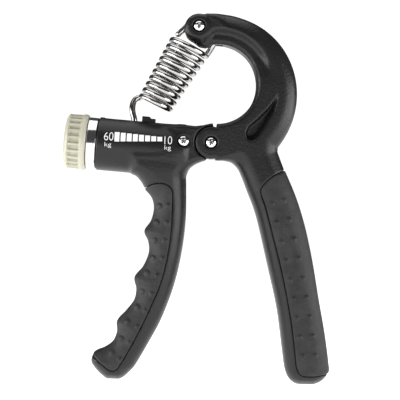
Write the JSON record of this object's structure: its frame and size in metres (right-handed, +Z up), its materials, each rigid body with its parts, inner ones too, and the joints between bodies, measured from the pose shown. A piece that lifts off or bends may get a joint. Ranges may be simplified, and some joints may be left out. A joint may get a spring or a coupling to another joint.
{
  "type": "hand grip strengthener",
  "caption": "Adjustable hand grip trainer: two hinged levers, a hooked arm, and a tension spring whose anchor a dial and lead screw move along a barrel.",
  "frame": {"origin": "on the surface that the two handle tips stand on, under the middle of the grip's box", "axes": "+Z up from the handle tips to the hook, +X from the dial towards the palm handle, +Y from the printed front to the back"},
  "size_m": [0.1167, 0.024, 0.1591],
  "materials": {
    "black_plastic": "fine satin moulded black plastic",
    "rubber": "matt dark grey moulded rubber",
    "cream_plastic": "semi-gloss cream plastic",
    "white_plastic": "natural acetal",
    "chrome": "bright plated steel",
    "steel": "plain zinc-plated steel",
    "brass": "turned brass"
  },
  "bodies": {
    "main_lever_body": {"main_lever": "black_plastic", "finger_grip": "rubber", "pivot_bush": "brass", "bearing_screw": "chrome", "bearing_nut": "chrome", "bearing_block": "white_plastic", "barrel_bush": "white_plastic"},
    "hook_lever_body": {"hook_lever": "black_plastic", "palm_grip": "rubber", "pivot_screw": "chrome", "pivot_nut": "chrome", "thrust_washer_front": "white_plastic", "thrust_washer_back": "white_plastic", "hook_pin_screw": "chrome", "hook_pin_nut": "chrome"},
    "dial_body": {"lead_screw": "steel", "dial_collar": "chrome", "dial_knob": "cream_plastic", "dial_screw": "steel", "dial_cap": "cream_plastic"},
    "carriage_body": {"carriage": "black_plastic", "carriage_nut": "brass", "spring_anchor_pin": "steel"},
    "spring_top_body": {"spring_bush": "steel", "spring_loop": "chrome"},
    "spring_middle_body": {"spring_coil": "chrome"},
    "spring_bottom_body": {"spring_hook": "chrome"}
  },
  "joints": [
    {"name": "handle_hinge", "type": "hinge", "parent": "main_lever_body", "child": "hook_lever_body", "pos_m": [0.0048, 0, 0.1033], "axis": [0, 1, 0], "range_deg": [0, 26], "stiffness_Nm_per_rad": 2, "springref_deg": -17.19},
    {"name": "dial_spin", "type": "hinge", "parent": "main_lever_body", "child": "dial_body", "pos_m": [-0.0438, 0, 0.1018], "axis": [0.9981, 0, -0.061], "range_deg": [-1260, 1800]},
    {"name": "carriage_slide", "type": "slide", "parent": "main_lever_body", "child": "carriage_body", "axis": [-0.9981, 0, 0.061], "range_m": [-0.0071, 0.0101]},
    {"name": "spring_lean", "type": "hinge", "parent": "hook_lever_body", "child": "spring_top_body", "pos_m": [-0.0017, 0, 0.1528], "axis": [0, 1, 0], "range_deg": [-5.5, 7.8]},
    {"name": "spring_stretch", "type": "hinge", "parent": "spring_top_body", "child": "spring_middle_body", "pos_m": [0.0965, 0, 0.1173], "axis": [0, 1, 0], "range_deg": [-7.4, 0], "deforming": ["spring_coil"]},
    {"name": "spring_reach", "type": "slide", "parent": "spring_middle_body", "child": "spring_bottom_body", "axis": [-0.8159, 0, -0.5782], "range_m": [-0.0034, 0.0048], "deforming": ["spring_hook"]}
  ],
  "couplings": [
    {"joint": "carriage_slide", "follows": "dial_spin", "m_per_rad": 0.00031831},
    {"joint": "spring_lean", "follows": "dial_spin", "ratio": 0.0042972},
    {"joint": "spring_stretch", "follows": "handle_hinge", "ratio": -0.283},
    {"joint": "spring_reach", "follows": "dial_spin", "m_per_rad": 0.00014948}
  ]
}
